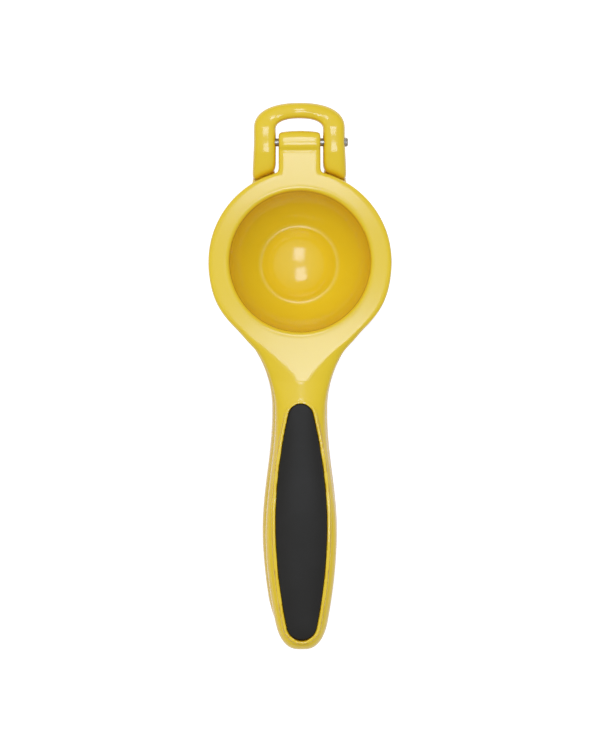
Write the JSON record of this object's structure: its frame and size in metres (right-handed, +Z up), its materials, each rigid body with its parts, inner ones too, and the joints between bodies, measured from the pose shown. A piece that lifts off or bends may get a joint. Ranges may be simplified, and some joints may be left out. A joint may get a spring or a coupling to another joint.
{
  "type": "hinged lemon squeezer",
  "caption": "Hinged lemon squeezer: a press lever with a hollow cup swings on a steel pin into the strainer bowl of a bowl lever, whose hinge arms form a hanging bail.",
  "frame": {"origin": "middle of the flat face under the bowl, which the squeezer stands on", "axes": "+Z up out of the bowl towards the press ring; +Y from the bowl towards the hinge and the bail; the handles run towards -Y; X across, along the hinge pin"},
  "size_m": [0.078, 0.2332, 0.0462],
  "materials": {
    "paint": "glossy lemon-yellow enamel on cast aluminium",
    "pin_steel": "turned stainless steel",
    "soft_pad": "matte soft-touch",
    "carrier": "moulded, plain"
  },
  "bodies": {
    "bowl": {"bowl_lever": "paint", "hinge_pin": "pin_steel", "bowl_grip": "soft_pad", "bowl_grip_core": "carrier"},
    "press": {"press_lever": "paint", "press_grip": "soft_pad", "press_grip_core": "carrier"}
  },
  "joints": [
    {"name": "press_hinge", "type": "hinge", "parent": "bowl", "child": "press", "pos_m": [0, 0.05085, 0.0385], "axis": [-1, 0, 0], "range_deg": [0, 140]}
  ]
}
